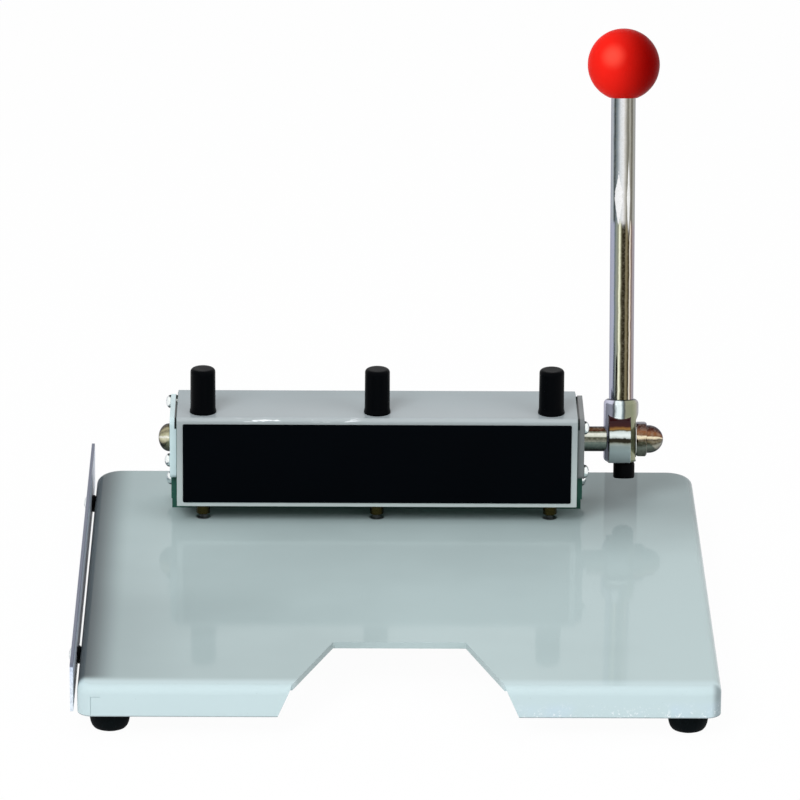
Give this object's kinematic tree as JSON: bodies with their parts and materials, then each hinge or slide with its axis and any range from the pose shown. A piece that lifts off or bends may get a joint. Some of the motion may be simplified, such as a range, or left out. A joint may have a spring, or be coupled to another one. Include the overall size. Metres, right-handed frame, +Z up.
{
  "type": "paper drill",
  "caption": "Desk paper punch: flat base with a hand notch, long punching head with capped rams, side lever with a ball knob, edge guide.",
  "frame": {"origin": "on the desk, under the middle of the machine's outline seen from above", "axes": "+X to the operator's right, +Y to the back, +Z up"},
  "size_m": [0.3026, 0.3108, 0.2544],
  "materials": {
    "grey_paint": "light grey powder coat, semi-gloss",
    "green_paint": "dark green enamel on cast iron",
    "black_rubber": "matt",
    "black_plastic": "satin",
    "black_steel": "black oxide",
    "brass": "machined",
    "aluminium": "satin anodised",
    "red_plastic": "gloss",
    "chrome": "polished",
    "zinc_steel": "zinc plated",
    "steel": "machined"
  },
  "bodies": {
    "root": {"base_tray": "grey_paint", "die_bar": "steel", "die_centre": "brass", "die_left": "brass", "die_right": "brass", "foot_screws": "steel", "foot_weld_nuts": "steel", "frame_bolts": "steel", "frame_casting": "green_paint", "guide_bush_centre": "brass", "guide_bush_left": "brass", "guide_bush_right": "brass", "guide_nuts": "steel", "guide_screws": "chrome", "guide_spacers": "black_plastic", "guide_strip": "aluminium", "head_cover": "grey_paint", "label_plate": "black_plastic", "punch_cap_centre": "black_plastic", "punch_cap_left": "black_plastic", "punch_cap_right": "black_plastic", "rubber_feet": "black_rubber", "shaft_bush_left": "brass", "shaft_bush_mid_left": "brass", "shaft_bush_mid_right": "brass", "shaft_bush_right": "brass", "side_plate_left": "grey_paint", "side_plate_right": "grey_paint", "side_plate_screws": "chrome", "tray_rail_left": "zinc_steel", "tray_rail_right": "zinc_steel"},
    "lever": {"lever_shaft": "chrome", "sector_gear_left": "steel", "sector_gear_centre": "steel", "sector_gear_right": "steel", "sector_pins": "steel", "shaft_end_cap": "chrome", "lever_hub": "chrome", "lever_rod": "chrome", "ball_knob": "red_plastic", "hub_screw": "black_steel", "hub_washer": "chrome", "acorn_nut": "chrome"},
    "ram_left": {"punch_ram_left": "steel", "punch_blade_left": "steel"},
    "ram_centre": {"punch_ram_centre": "steel", "punch_blade_centre": "steel"},
    "ram_right": {"punch_ram_right": "steel", "punch_blade_right": "steel"},
    "tray": {"chip_tray": "zinc_steel"}
  },
  "joints": [
    {"name": "lever_pull", "type": "hinge", "parent": "root", "child": "lever", "pos_m": [0.11375, 0.0931, 0.0578], "axis": [1, 0, 0], "range_deg": [0, 43]},
    {"name": "ram_left_stroke", "type": "slide", "parent": "root", "child": "ram_left", "axis": [0, 0, -1], "range_m": [0, 0.01549]},
    {"name": "ram_centre_stroke", "type": "slide", "parent": "root", "child": "ram_centre", "axis": [0, 0, -1], "range_m": [0, 0.01549]},
    {"name": "ram_right_stroke", "type": "slide", "parent": "root", "child": "ram_right", "axis": [0, 0, -1], "range_m": [0, 0.01549]},
    {"name": "tray_pull", "type": "slide", "parent": "root", "child": "tray", "axis": [0, 1, 0], "range_m": [0, 0.06]}
  ],
  "couplings": [
    {"joint": "ram_left_stroke", "follows": "lever_pull", "m_per_rad": 0.0205},
    {"joint": "ram_centre_stroke", "follows": "lever_pull", "m_per_rad": 0.0205},
    {"joint": "ram_right_stroke", "follows": "lever_pull", "m_per_rad": 0.0205}
  ]
}
